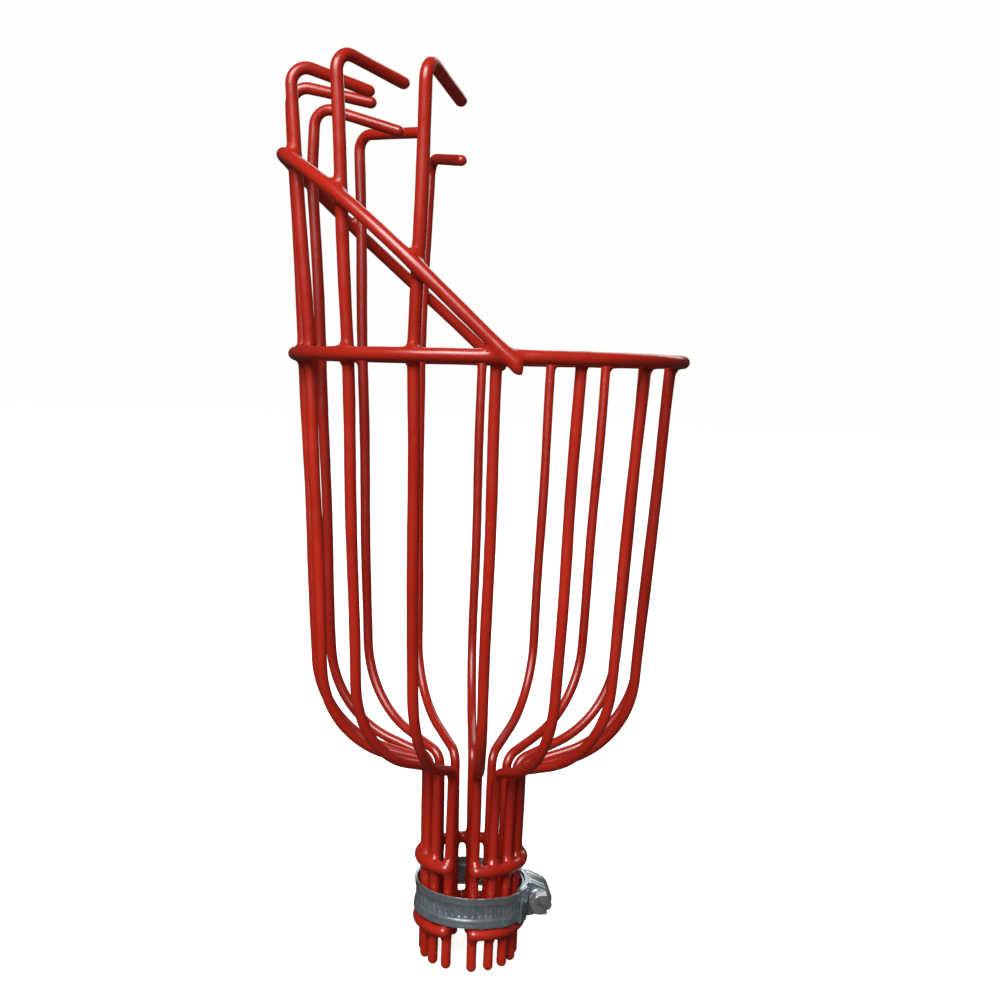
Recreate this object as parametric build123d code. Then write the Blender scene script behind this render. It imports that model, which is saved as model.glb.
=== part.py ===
from build123d import *
import math
import os

# Fruit picker basket: a cup of vinyl-coated steel wires whose lower ends form a
# cage round the tip of a pole.  Seven wires run on above the rim as hooked
# fingers, a sloped hoop ties the fingers together, and a worm-drive hose clamp
# squeezes the cage onto the pole.
#
# Frame: origin at the middle of the cage's open mouth, +Z up along the cage's
# axis, fingers on the -X side, low picking lip on the +X side.
# Lengths are in millimetres and angles in degrees, counter-clockwise from +X.

# --- Wires ----------------------------------------------------------------
WIRE_COUNT = 16
WIRE_DIAMETER = 3.6          # steel core with its vinyl coat
FINGER_DIAMETER = 3.9        # the coat is thicker on the finger wires

# --- Cup --------------------------------------------------------------------
RIM_HEIGHT = 216.5
RIM_HOOP_RISE = 0.6           # the bent rim sits a little higher than planned
RIM_TILT = 1.06               # and is not quite level
RIM_HIGH_AZIMUTH = 38.0       # where it is highest
CUP_RADIUS = 65.0            # wire centres, at the rim
CUP_TAPER = 0.0673           # outward lean of the cup wall, per mm of height
CUP_FLOOR_HEIGHT = 83.8      # corner between wall and floor, before rounding
CUP_FLOOR_BEND = 36.0
RIM_DIAMETER = 4.5
RIM_RADIUS = CUP_RADIUS + 3.0
WIRE_END_ABOVE_RIM = 0.6

# --- Neck cage --------------------------------------------------------------
NECK_RADIUS = 16.3           # wire centres, at the tips
NECK_TOP_RADIUS = 17.2
NECK_HEIGHT = 71.1           # corner between neck and cup floor, before rounding
NECK_SLANT = 1.16            # the corners stand this much higher on one side
NECK_SLANT_AZIMUTH = 245.0
NECK_BEND = 6.0
# How far a wire's place at the top of the neck is turned from its place on the cup.
NECK_TWISTS = {1: -1.5, 2: -3.5, 3: -4.5, 4: 2.0, 5: 1.3}
SEAM_AZIMUTH = 256.0         # middle of the cage's open seam
SEAM_GAP = 33.0
COLLAR_DIAMETER = 3.8
COLLAR_RADIUS = 18.6
COLLAR_HEIGHTS = {"upper_collar": 37.1, "lower_collar": 14.25}
COLLAR_GAPS = {"upper_collar": (238.2, 274.7), "lower_collar": (238.2, 274.0)}

# --- Fingers: hand-bent, so no two are alike ----------------------------------
FINGER_BEND = 5.5
FINGER_KNEE = 250.0          # slight bend where a finger leaves the rim
# wire: (lean outward, swing round the axis, height above rim, hook length, droop)
FINGERS = {
    3: (0.5, 3.3, 88.0, 32.0, 12.0),
    2: (2.0, 0.0, 93.0, 29.3, 11.0),
    1: (3.0, 0.0, 93.8, 28.0, 13.0),
    0: (0.8, 0.0, 91.7, 28.0, 10.0),
    15: (-1.2, 0.0, 90.2, 34.0, 17.0),
    14: (0.8, -0.8, 85.0, 33.0, 4.0),
    13: (0.0, -3.2, 80.0, 36.0, 9.0),
}
# wire: (height above rim, lean outward) of a slight kink where the guard crosses it
KINKS = {15: (64.0, 1.1)}
KINK_BEND = 60.0
# How far each wire stands from its even place round the cup, from the back wire on.
WIRE_OFFSETS = (1.0, -2.5, -1.5, -1.0, -0.5, 1.0, 3.0, 0.5, 0.0, 0.0, -2.0, -2.5, 0.0, 0.0, 1.0, 2.0)

# --- Guard hoop: a U lying against the outside of the fingers -----------------
GUARD_DIAMETER = 4.5
# Corners before rounding, heights above the rim, from the near end to the far end.
GUARD_CORNERS = (
    (4.7, -69.8, -2.3),
    (-37.9, -64.7, 37.5),
    (-73.0, -29.1, 66.0),
    (-73.0, 29.1, 67.4),
    (-37.9, 64.5, 38.4),
    (8.0, 71.0, -0.5),
)
GUARD_BENDS = (98.0, 53.0, 53.0, 98.0)

# --- Worm-drive clamp ---------------------------------------------------------
# Azimuths here are from the clamp's own middle, where the screw lies.
CLAMP_HEIGHT = 23.05         # middle of the band
CLAMP_TILT = 1.8             # the band sits askew
CLAMP_LOW_AZIMUTH = -45.0    # where its edge is lowest
CLAMP_AZIMUTH = 3.0          # direction of the screw's middle from the cage's axis
BAND_WIDTH = 11.0
BAND_THICKNESS = 0.8
BAND_INNER_RADIUS = 18.9
BAND_FIXED_END = -30.0
BAND_STEP = (-80.0, -40.0)   # here the strip climbs from the inner to the outer layer
BAND_TAIL_END = 52.0
SADDLE_THICKNESS = 0.7
SADDLE_ENDS = (-37.5, 24.0)
SADDLE_EDGE_GAP = 0.15       # between the band's edges and the saddle's flanges
FLANGE_THICKNESS = 0.55
STRAP_END = -24.5            # the strap bridges the band at the saddle's near end
STRAP_THICKNESS = 0.8
SLIDING_GAP = 0.05
HOUSING_LENGTH = 13.0
HOUSING_WALL = 1.0
END_WALL = 1.6
SCREW_RADIUS = 3.5
SCREW_ROOT_RADIUS = 2.8
THREAD_PITCH = 2.35
THREAD_TURNS = 4
THREAD_CLEARANCE = 0.15
JOURNAL_RADIUS = 2.2
TIP_JOURNAL_RADIUS = 1.6
JOURNAL_CLEARANCE = 0.05
TIP_OVERHANG = 0.5
WASHER_RADIUS = 4.0
WASHER_THICKNESS = 0.9
HEAD_ACROSS_FLATS = 7.0
HEAD_LENGTH = 4.2
SLOT_WIDTH = 1.2
SLOT_DEPTH = 1.8
SLOT_ANGLE = -40.0

SADDLE_RADIUS = BAND_INNER_RADIUS + BAND_THICKNESS
OUTER_LAYER_RADIUS = SADDLE_RADIUS + SADDLE_THICKNESS + SLIDING_GAP
COVER_RADIUS = OUTER_LAYER_RADIUS + BAND_THICKNESS + 2 * SLIDING_GAP
SADDLE_HALF_WIDTH = BAND_WIDTH / 2 + SADDLE_EDGE_GAP
FLANGE_HALF_WIDTH = SADDLE_HALF_WIDTH + FLANGE_THICKNESS
SCREW_DISTANCE = COVER_RADIUS + SCREW_RADIUS


def around(radius, azimuth, height):
    """Point at a radius and azimuth about the cage's axis."""
    angle = math.radians(azimuth)
    return (radius * math.cos(angle), radius * math.sin(angle), height)


def cup_azimuth(wire):
    return 180.0 + wire * 360.0 / WIRE_COUNT + WIRE_OFFSETS[wire]


def neck_azimuth(wire):
    """Even pitch round the neck, leaving the seam open between wires 3 and 4."""
    pitch = (360.0 - SEAM_GAP) / (WIRE_COUNT - 1)
    return SEAM_AZIMUTH + SEAM_GAP / 2 + pitch * ((wire - 4) % WIRE_COUNT)


def cup_radius(height_above_rim):
    return CUP_RADIUS + CUP_TAPER * height_above_rim


def rod(path, diameter):
    """Round wire along a path, with a domed end at each of its ends."""
    dome = Sphere(diameter / 2)
    section = Plane(origin=path @ 0, z_dir=path % 0) * Circle(diameter / 2)
    return sweep(section, path=path) + Pos(path @ 0) * dome + Pos(path @ 1) * dome


def neck_top(wire):
    """Corner where a wire leaves the neck for the cup's floor, before rounding."""
    azimuth = cup_azimuth(wire) + NECK_TWISTS.get(wire, 0.0)
    slant = NECK_SLANT * math.cos(math.radians(azimuth - NECK_SLANT_AZIMUTH))
    return around(NECK_TOP_RADIUS, azimuth, NECK_HEIGHT + slant)


def lower_corners(wire, tip_height):
    """Tip, top of the neck and edge of the cup's floor, with their two bends."""
    floor_radius = cup_radius(CUP_FLOOR_HEIGHT - RIM_HEIGHT)
    corners = [
        around(NECK_RADIUS, neck_azimuth(wire), tip_height),
        neck_top(wire),
        around(floor_radius, cup_azimuth(wire), CUP_FLOOR_HEIGHT),
    ]
    return corners, [NECK_BEND, CUP_FLOOR_BEND]


def basket_wire(wire):
    """Plain wire: from the neck's mouth up to the inside of the rim."""
    corners, bends = lower_corners(wire, WIRE_DIAMETER / 2)
    top = cup_radius(WIRE_END_ABOVE_RIM)
    corners.append(around(top, cup_azimuth(wire), RIM_HEIGHT + WIRE_END_ABOVE_RIM))
    path = FilletPolyline(*corners, radius=bends)
    return rod(path, WIRE_DIAMETER)


def finger_wire(wire):
    """Long wire that runs on above the rim and hooks in over the cup's mouth."""
    lean, swing, reach, hook, droop = FINGERS[wire]
    corners, bends = lower_corners(wire, FINGER_DIAMETER / 2)
    top_radius = cup_radius(reach) + lean
    top_azimuth = cup_azimuth(wire) + swing
    top_height = RIM_HEIGHT + reach
    hook_in = hook * math.cos(math.radians(droop))
    hook_down = hook * math.sin(math.radians(droop))
    corners.append(around(CUP_RADIUS, cup_azimuth(wire), RIM_HEIGHT))
    bends.append(FINGER_KNEE)
    if wire in KINKS:
        kink_reach, kink_lean = KINKS[wire]
        kink_radius = cup_radius(kink_reach) + kink_lean
        corners.append(around(kink_radius, top_azimuth, RIM_HEIGHT + kink_reach))
        bends.append(KINK_BEND)
    corners.append(around(top_radius, top_azimuth, top_height))
    bends.append(FINGER_BEND)
    corners.append(around(top_radius - hook_in, top_azimuth, top_height - hook_down))
    path = FilletPolyline(*corners, radius=bends)
    return rod(path, FINGER_DIAMETER)


def rim_hoop():
    tilt = Rot(0, 0, RIM_HIGH_AZIMUTH) * Rot(0, -RIM_TILT, 0)
    return Pos(0, 0, RIM_HEIGHT + RIM_HOOP_RISE) * tilt * Torus(RIM_RADIUS, RIM_DIAMETER / 2)


def guard_hoop():
    corners = [(x, y, RIM_HEIGHT + above) for x, y, above in GUARD_CORNERS]
    path = FilletPolyline(*corners, radius=GUARD_BENDS)
    return rod(path, GUARD_DIAMETER)


def collar(name):
    """Open ring outside the neck wires; its gap is the cage's seam."""
    gap_start, gap_end = COLLAR_GAPS[name]
    sweep_angle = 360.0 - (gap_end - gap_start)
    path = CenterArc((0, 0, COLLAR_HEIGHTS[name]), COLLAR_RADIUS, gap_end, sweep_angle)
    return rod(path, COLLAR_DIAMETER)


# The clamp's pieces are drawn with the screw's middle on +X, its head towards -Y
# and the band's middle at height 0, then turned, tilted and lifted into place.
def place_clamp(shape):
    tilt = Rot(0, 0, CLAMP_LOW_AZIMUTH) * Rot(0, CLAMP_TILT, 0) * Rot(0, 0, -CLAMP_LOW_AZIMUTH)
    return Pos(0, 0, CLAMP_HEIGHT) * tilt * Rot(0, 0, CLAMP_AZIMUTH) * shape


def curved_plate(inner, outer, start, end, bottom, top):
    """Sector of a ring about the clamp's axis, between two heights."""
    middle = CenterArc((0, 0), (inner + outer) / 2, start, end - start)
    return Pos(0, 0, bottom) * extrude(trace(middle, outer - inner), top - bottom)


def clamp_band():
    """One strip: fixed end under the saddle, once round, up a layer, under the screw."""
    step_start, step_end = BAND_STEP
    inner_middle = BAND_INNER_RADIUS + BAND_THICKNESS / 2
    outer_middle = OUTER_LAYER_RADIUS + BAND_THICKNESS / 2
    once_round = 360.0 + step_start - BAND_FIXED_END
    inner_arc = CenterArc((0, 0), inner_middle, BAND_FIXED_END, once_round)
    outer_arc = CenterArc((0, 0), outer_middle, step_end, BAND_TAIL_END - step_end)
    step = Spline(inner_arc @ 1, outer_arc @ 0, tangents=(inner_arc % 1, outer_arc % 0))
    strip = trace(inner_arc + step + outer_arc, BAND_THICKNESS)
    return place_clamp(extrude(strip, BAND_WIDTH / 2, both=True))


def clamp_saddle():
    """Channel under the threaded tail, with a strap over the band at its near end."""
    start, end = SADDLE_ENDS
    base_top = SADDLE_RADIUS + SADDLE_THICKNESS
    saddle = curved_plate(
        SADDLE_RADIUS, base_top, start, end, -SADDLE_HALF_WIDTH, SADDLE_HALF_WIDTH
    )
    for bottom in (-FLANGE_HALF_WIDTH, SADDLE_HALF_WIDTH):
        top = bottom + SADDLE_THICKNESS
        saddle += curved_plate(SADDLE_RADIUS, COVER_RADIUS, start, end, bottom, top)
    strap_top = COVER_RADIUS + STRAP_THICKNESS
    saddle += curved_plate(
        COVER_RADIUS, strap_top, start, STRAP_END, -FLANGE_HALF_WIDTH, FLANGE_HALF_WIDTH
    )
    return place_clamp(saddle)


def dome_section(crown_radius, half_width):
    """Outline round the screw that widens to the saddle's flanges, in the XZ plane."""
    crown = Pos(SCREW_DISTANCE, 0) * Circle(crown_radius)
    foot_height = 2.0
    foot = Pos(COVER_RADIUS, 0) * Rectangle(foot_height, 2 * half_width)
    return make_hull(crown.edges() + foot.edges())


def clamp_housing():
    """Dome over the screw: open towards the band, with a bearing wall at each end."""
    def solid_dome(crown_radius, half_width, length):
        section = Plane.XZ * dome_section(crown_radius, half_width)
        return extrude(section, length / 2, both=True)

    cavity_radius = SCREW_RADIUS + THREAD_CLEARANCE
    housing = solid_dome(cavity_radius + HOUSING_WALL, FLANGE_HALF_WIDTH, HOUSING_LENGTH)
    housing -= solid_dome(cavity_radius, SADDLE_HALF_WIDTH, HOUSING_LENGTH - 2 * END_WALL)
    housing -= Cylinder(COVER_RADIUS, 4 * BAND_WIDTH)
    for side, radius in ((-1, JOURNAL_RADIUS), (1, TIP_JOURNAL_RADIUS)):
        hole = Cylinder(radius + JOURNAL_CLEARANCE, 2 * END_WALL)
        housing -= Pos(SCREW_DISTANCE, side * HOUSING_LENGTH / 2, 0) * Rot(90, 0, 0) * hole
    return place_clamp(housing)


def hex_head():
    head = extrude(RegularPolygon(HEAD_ACROSS_FLATS / 2, 6, major_radius=False), HEAD_LENGTH)
    slot = Pos(0, 0, HEAD_LENGTH) * Rot(0, 0, SLOT_ANGLE)
    slot *= Box(3 * WASHER_RADIUS, SLOT_WIDTH, 2 * SLOT_DEPTH)
    return head - slot


def worm_screw():
    """Screw along its own +Z, from the tip journal through the thread to the hex head."""
    half_housing = HOUSING_LENGTH / 2
    thread_half = half_housing - END_WALL - THREAD_CLEARANCE
    washer_bottom = half_housing + THREAD_CLEARANCE
    washer_top = washer_bottom + WASHER_THICKNESS

    def section(radius, bottom, top):
        return Pos(0, 0, (bottom + top) / 2) * Cylinder(radius, top - bottom)

    screw = section(TIP_JOURNAL_RADIUS, -half_housing - TIP_OVERHANG, -thread_half)
    screw += section(SCREW_ROOT_RADIUS, -thread_half, thread_half)
    screw += section(JOURNAL_RADIUS, thread_half, washer_bottom)
    screw += section(WASHER_RADIUS, washer_bottom, washer_top)
    screw += Pos(0, 0, washer_top) * hex_head()
    for turn in range(THREAD_TURNS):
        middle = (turn - (THREAD_TURNS - 1) / 2) * THREAD_PITCH
        screw += section(SCREW_RADIUS, middle - THREAD_PITCH / 4, middle + THREAD_PITCH / 4)
    return place_clamp(Pos(SCREW_DISTANCE, 0, 0) * Rot(90, 0, 0) * screw)


def build_nodes():
    """Every separate piece, by the name of its node."""
    nodes = {}
    for number, wire in enumerate(FINGERS, start=1):
        nodes[f"finger_wire_{number}"] = finger_wire(wire)
    plain_wires = [wire for wire in range(WIRE_COUNT) if wire not in FINGERS]
    for number, wire in enumerate(plain_wires, start=1):
        nodes[f"basket_wire_{number}"] = basket_wire(wire)
    nodes["rim_hoop"] = rim_hoop()
    nodes["guard_hoop"] = guard_hoop()
    for name in COLLAR_HEIGHTS:
        nodes[name] = collar(name)
    nodes["clamp_band"] = clamp_band()
    nodes["clamp_saddle"] = clamp_saddle()
    nodes["clamp_housing"] = clamp_housing()
    nodes["worm_screw"] = worm_screw()
    return nodes


os.makedirs("parts", exist_ok=True)
for node_name, shape in build_nodes().items():
    export_step(shape, f"parts/{node_name}.step")
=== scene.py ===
import math

import bmesh
import bpy
import numpy as np
from mathutils import Matrix, Vector


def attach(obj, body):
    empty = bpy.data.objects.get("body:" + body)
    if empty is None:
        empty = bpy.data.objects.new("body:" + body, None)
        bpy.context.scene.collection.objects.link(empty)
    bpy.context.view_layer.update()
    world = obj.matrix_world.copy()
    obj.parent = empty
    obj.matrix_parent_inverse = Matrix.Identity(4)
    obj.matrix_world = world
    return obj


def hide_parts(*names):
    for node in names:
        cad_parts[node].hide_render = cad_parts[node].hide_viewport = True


# The looks of a fruit picker basket: dipped-vinyl wires that melt into each other
# at every crossing, and a zinc-plated worm-drive clamp round the neck.
# Shapes are worked out in millimetres and written to the meshes in metres.

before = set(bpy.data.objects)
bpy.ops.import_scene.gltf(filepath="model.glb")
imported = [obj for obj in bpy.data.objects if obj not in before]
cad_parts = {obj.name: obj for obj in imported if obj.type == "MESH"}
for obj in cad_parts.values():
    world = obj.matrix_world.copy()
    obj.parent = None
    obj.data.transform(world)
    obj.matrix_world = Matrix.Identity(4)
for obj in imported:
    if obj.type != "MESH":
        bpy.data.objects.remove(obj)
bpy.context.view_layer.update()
MM = 0.001

# --- Driving dimensions of the wires, as on the frame's nodes ---------------------
WIRE_COUNT = 16
RIM_HEIGHT = 216.5
RIM_HOOP_RISE = 0.6          # the bent rim sits a little higher than planned
RIM_TILT = 1.06              # and is not quite level
RIM_HIGH_AZIMUTH = 38.0      # where it is highest
CUP_RADIUS = 65.0
CUP_TAPER = 0.0673
FLOOR_HEIGHT = 83.8
FLOOR_BEND = 36.0
WIRE_END_ABOVE_RIM = 0.6
NECK_RADIUS = 16.3
NECK_TOP_RADIUS = 17.2
NECK_HEIGHT = 71.1
NECK_SLANT = 1.16
NECK_SLANT_AZIMUTH = 245.0
NECK_BEND = 6.0
NECK_TWISTS = {1: -1.5, 2: -3.5, 3: -4.5, 4: 2.0, 5: 1.3}
SEAM_AZIMUTH = 256.0
SEAM_GAP = 33.0
WIRE_TIP_HEIGHT = 1.8        # where the middle line starts, so that the tips stand at 0
FINGER_TIP_HEIGHT = 1.95
RIM_RADIUS = 68.0
COLLAR_RADIUS = 18.6
# collar: (height, azimuth where its gap starts, azimuth where its gap ends)
COLLARS = {"upper_collar": (37.1, 238.2, 274.7), "lower_collar": (14.25, 238.2, 274.0)}
FINGER_BEND = 5.5
FINGER_KNEE = 250.0
# wire: (lean outward, swing round the axis, height above rim, hook length, droop)
FINGERS = {
    3: (0.5, 3.3, 88.0, 32.0, 12.0),
    2: (2.0, 0.0, 93.0, 29.3, 11.0),
    1: (3.0, 0.0, 93.8, 28.0, 13.0),
    0: (0.8, 0.0, 91.7, 28.0, 10.0),
    15: (-1.2, 0.0, 90.2, 34.0, 17.0),
    14: (0.8, -0.8, 85.0, 33.0, 4.0),
    13: (0.0, -3.2, 80.0, 36.0, 9.0),
}
# wire: (height above rim, lean outward) of a slight kink where the guard crosses it
KINKS = {15: (64.0, 1.1)}
KINK_BEND = 60.0
# degrees by which each hand-set wire stands off its even place round the cup
WIRE_OFFSETS = (1.0, -2.5, -1.5, -1.0, -0.5, 1.0, 3.0, 0.5, 0.0, 0.0, -2.0, -2.5, 0.0, 0.0, 1.0, 2.0)
# corners before rounding, heights above the rim, from the near end to the far end
GUARD_CORNERS = (
    (4.7, -69.8, -2.3),
    (-37.9, -64.7, 37.5),
    (-73.0, -29.1, 66.0),
    (-73.0, 29.1, 67.4),
    (-37.9, 64.5, 38.4),
    (8.0, 71.0, -0.5),
)
GUARD_BENDS = (98.0, 53.0, 53.0, 98.0)

# --- The coat: its radius on each wire and how it flows between them ---------------
WIRE_COAT = (1.74, 1.78, 1.84)       # at the neck, round the cup and at the top
FINGER_COAT = (1.78, 1.86, 2.06)
COAT_PLACES = (0.0, 0.2, 0.45, 0.75, 1.0)    # shares of the length between those
RIM_COAT = 2.2
GUARD_COAT = 2.22
COLLAR_COAT = 1.9
GUARD_DRIP = 0.5
WAVES_IN_COAT = ((47.0, 0.014), (19.0, 0.011), (7.3, 0.005))    # length and share of radius
BOW_HEIGHT = 0.16            # how far a straight run strays sideways
BOW_LENGTHS = (83.0, 61.0)   # of the waves along X and along Y
BOW_FADE = 40.0              # height above the neck over which the bowing sets in
BOW_PHASE = 1.7              # sets the two waves, and the wires, out of step
SIDES = 40
PLAIN_STEP = 1.8             # between rings of the mesh
BEND_STEP = 0.7
CROSSING_STEP = 0.35
GENTLE_BEND = 100.0          # bends wider than this count as plain runs
COARSE = 5                   # takes every fifth sample of a path, for quick distances
FINE = 3                     # every third, for the vinyl's shape
OFF_EVERY_WIRE = (0.31, 0.22, 0.92)      # a direction that no wire starts along
CROSSING_REACH = 8.0         # wires closer than this flow into each other
CROSSING_CORE = 6.0          # and here the mesh is finest
CROSSING_MARGIN = 3.0
WEB_SIZE = 0.85              # size of the vinyl web at a crossing
SWELL_START = -0.1           # the merged surface is looked for from just inside the coat
SWELL_LIMIT = 2.6            # to this far out
RISE_STEPS = 28
DOME_STEPS = 9
POLE_RISE = 0.2              # an end's last point stands out by this share of a step
WIRE_SINK = 0.02             # wires lie this far under the hoops' vinyl where they merge
HOOPS = ("rim_hoop", "guard_hoop", "upper_collar", "lower_collar")


# --- Paths -----------------------------------------------------------------------
def around(radius, azimuth, height):
    """Point from a radius, an azimuth in degrees from +X and a height."""
    angle = math.radians(azimuth)
    return np.array((radius * math.cos(angle), radius * math.sin(angle), height))


def cup_azimuth(wire):
    return 180.0 + wire * 360.0 / WIRE_COUNT + WIRE_OFFSETS[wire]


def neck_azimuth(wire):
    pitch = (360.0 - SEAM_GAP) / (WIRE_COUNT - 1)
    return SEAM_AZIMUTH + SEAM_GAP / 2 + pitch * ((wire - 4) % WIRE_COUNT)


def cup_radius(height_above_rim):
    return CUP_RADIUS + CUP_TAPER * height_above_rim


class Path:
    """A wire's middle line as dense samples, with the length run up to each."""

    SAMPLE = 0.1

    def __init__(self, points, bent):
        self.points = np.array(points)
        self.bent = np.array(bent)       # which samples lie on a tight bend
        steps = np.linalg.norm(np.diff(self.points, axis=0), axis=1)
        self.reach = np.concatenate(([0.0], np.cumsum(steps)))
        self.length = self.reach[-1]

    def at(self, reach):
        return np.stack([np.interp(reach, self.reach, self.points[:, i]) for i in range(3)], 1)


def straight(start, end):
    """Samples of a straight run, without its start."""
    count = max(1, int(np.linalg.norm(end - start) / Path.SAMPLE))
    return [start + (end - start) * share for share in np.linspace(0.0, 1.0, count + 1)[1:]]


def corner_arc(before, corner, after, bend):
    """Start and samples of the arc that rounds a corner."""
    back = (before - corner) / np.linalg.norm(before - corner)
    ahead = (after - corner) / np.linalg.norm(after - corner)
    turn = math.pi - math.acos(float(back @ ahead))
    bisector = (back + ahead) / np.linalg.norm(back + ahead)
    centre = corner + bisector * bend / math.cos(turn / 2)
    start = corner + back * bend * math.tan(turn / 2)
    count = max(3, int(bend * turn / Path.SAMPLE))
    arc = []
    for angle in np.linspace(0.0, turn, count + 1)[1:]:
        spoke = (start - centre) * math.cos(angle) - back * bend * math.sin(angle)
        arc.append(centre + spoke)
    return start, arc


def bent_path(corners, bends, seed):
    """Straight runs joined by arcs, bowed a fraction of a millimetre as by hand."""
    corners = [np.asarray(corner, float) for corner in corners]
    points, bent = [corners[0]], [False]
    for before, corner, after, bend in zip(corners, corners[1:], corners[2:], bends):
        start, arc = corner_arc(before, corner, after, bend)
        run = straight(points[-1], start)
        points += run + arc
        bent += [False] * len(run) + [bend < GENTLE_BEND] * len(arc)
    run = straight(points[-1], corners[-1])
    path = Path(points + run, bent + [False] * len(run))
    above_neck = np.clip((path.points[:, 2] - NECK_HEIGHT) / BOW_FADE, 0.0, 1.0)
    for axis, length in enumerate(BOW_LENGTHS):
        wave = np.sin(2 * math.pi * path.reach / length + seed * (axis + BOW_PHASE))
        path.points[:, axis] += BOW_HEIGHT * above_neck * wave
    return path


def ring_path(radius, height, start, end):
    """A level circular arc from one azimuth to another."""
    count = int(radius * math.radians(end - start) / Path.SAMPLE)
    points = [around(radius, azimuth, height) for azimuth in np.linspace(start, end, count)]
    return Path(points, [True] * count)


# --- Wires as rods: a path, a coat of vinyl and an end to each side ----------------
class Rod:
    """One dipped wire. A closed rod is a ring; an open one ends in domes."""

    def __init__(self, node, path, coat, closed=False, domes=(1.1, 1.1), drip=0.0):
        self.node = node
        self.path = path
        self.coat = coat             # coat radius from the share of the length run
        self.closed = closed
        self.domes = domes           # dome lengths at start and end, in radii
        self.drip = drip             # above 0 the end dome hangs to a point
        self.seed = sum(ord(letter) for letter in node)

    def radius(self, reach):
        """Coat radius with the slow unevenness of a dipped coat."""
        share = np.asarray(reach) / self.path.length
        uneven = np.zeros_like(share)
        for length, depth in WAVES_IN_COAT:
            waves = max(1, round(self.path.length / length))
            uneven += depth * np.sin(2 * math.pi * waves * share + self.seed * length)
        return self.coat(share) * (1 + uneven)


def even(radius):
    return lambda share: np.full_like(share, radius)


def thicker_up(neck, cup, top):
    """The wires hang hooks-down to drain, so the coat thickens towards their tops."""
    return lambda share: np.interp(share, COAT_PLACES, (neck, neck, cup, top, top))


def neck_top(wire):
    """Corner where a wire leaves the neck for the cup's floor, before rounding."""
    azimuth = cup_azimuth(wire) + NECK_TWISTS.get(wire, 0.0)
    slant = NECK_SLANT * math.cos(math.radians(azimuth - NECK_SLANT_AZIMUTH))
    return around(NECK_TOP_RADIUS, azimuth, NECK_HEIGHT + slant)


def cup_corners(wire, tip_height):
    """Corners from the wire's lower tip to where it turns up into the cup's side."""
    floor_radius = cup_radius(FLOOR_HEIGHT - RIM_HEIGHT)
    return [
        around(NECK_RADIUS, neck_azimuth(wire), tip_height),
        neck_top(wire),
        around(floor_radius, cup_azimuth(wire), FLOOR_HEIGHT),
    ]


def basket_wire(node, wire):
    """Plain wire: from the neck's mouth up to the inside of the rim."""
    corners = cup_corners(wire, WIRE_TIP_HEIGHT)
    top = cup_radius(WIRE_END_ABOVE_RIM)
    corners.append(around(top, cup_azimuth(wire), RIM_HEIGHT + WIRE_END_ABOVE_RIM))
    path = bent_path(corners, (NECK_BEND, FLOOR_BEND), seed=wire)
    return Rod(node, path, thicker_up(*WIRE_COAT), domes=(1.0, 0.9))


def finger_wire(node, wire):
    """Long wire that runs on above the rim and hooks in over the cup's mouth."""
    lean, swing, reach, hook, droop = FINGERS[wire]
    top_radius = cup_radius(reach) + lean
    top_azimuth = cup_azimuth(wire) + swing
    hook_in = hook * math.cos(math.radians(droop))
    hook_down = hook * math.sin(math.radians(droop))
    corners = cup_corners(wire, FINGER_TIP_HEIGHT)
    corners.append(around(CUP_RADIUS, cup_azimuth(wire), RIM_HEIGHT))
    bends = [NECK_BEND, FLOOR_BEND, FINGER_KNEE]
    if wire in KINKS:
        kink_reach, kink_lean = KINKS[wire]
        kink_radius = cup_radius(kink_reach) + kink_lean
        corners.append(around(kink_radius, top_azimuth, RIM_HEIGHT + kink_reach))
        bends.append(KINK_BEND)
    corners.append(around(top_radius, top_azimuth, RIM_HEIGHT + reach))
    bends.append(FINGER_BEND)
    hook_height = RIM_HEIGHT + reach - hook_down
    corners.append(around(top_radius - hook_in, top_azimuth, hook_height))
    path = bent_path(corners, bends, seed=wire)
    return Rod(node, path, thicker_up(*FINGER_COAT), domes=(1.0, 1.0))


def rim_rod():
    path = ring_path(RIM_RADIUS, RIM_HEIGHT + RIM_HOOP_RISE, 0.0, 360.0)
    uphill = around(math.tan(math.radians(RIM_TILT)), RIM_HIGH_AZIMUTH, 0.0)
    path.points[:, 2] += path.points @ uphill
    return Rod("rim_hoop", path, even(RIM_COAT), closed=True)


def guard_rod():
    """U-shaped guard, drawn from its far end to the near end with the drip."""
    corners = [(x, y, RIM_HEIGHT + above) for x, y, above in GUARD_CORNERS[::-1]]
    path = bent_path(corners, GUARD_BENDS[::-1], seed=3)
    return Rod("guard_hoop", path, even(GUARD_COAT), domes=(1.1, 1.7), drip=GUARD_DRIP)


def collar_rod(node):
    height, gap_start, gap_end = COLLARS[node]
    path = ring_path(COLLAR_RADIUS, height, gap_end, gap_start + 360.0)
    return Rod(node, path, even(COLLAR_COAT))


def all_rods():
    plain = [wire for wire in range(WIRE_COUNT) if wire not in FINGERS]
    rods = [finger_wire(f"finger_wire_{n}", wire) for n, wire in enumerate(FINGERS, start=1)]
    rods += [basket_wire(f"basket_wire_{n}", wire) for n, wire in enumerate(plain, start=1)]
    rods += [rim_rod(), guard_rod()]
    rods += [collar_rod(node) for node in COLLARS]
    return rods


# --- Vinyl that flows from rod to rod ----------------------------------------------
def squares_between(points, others):
    """Squared distances, in a row for each point and a column for each of the others."""
    return (points ** 2).sum(1)[:, None] + (others ** 2).sum(1) - 2 * points @ others.T


def nearest(points, others):
    """Distance from each point to the closest of the others."""
    return np.sqrt(np.maximum(squares_between(points, others), 0).min(1))


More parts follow.
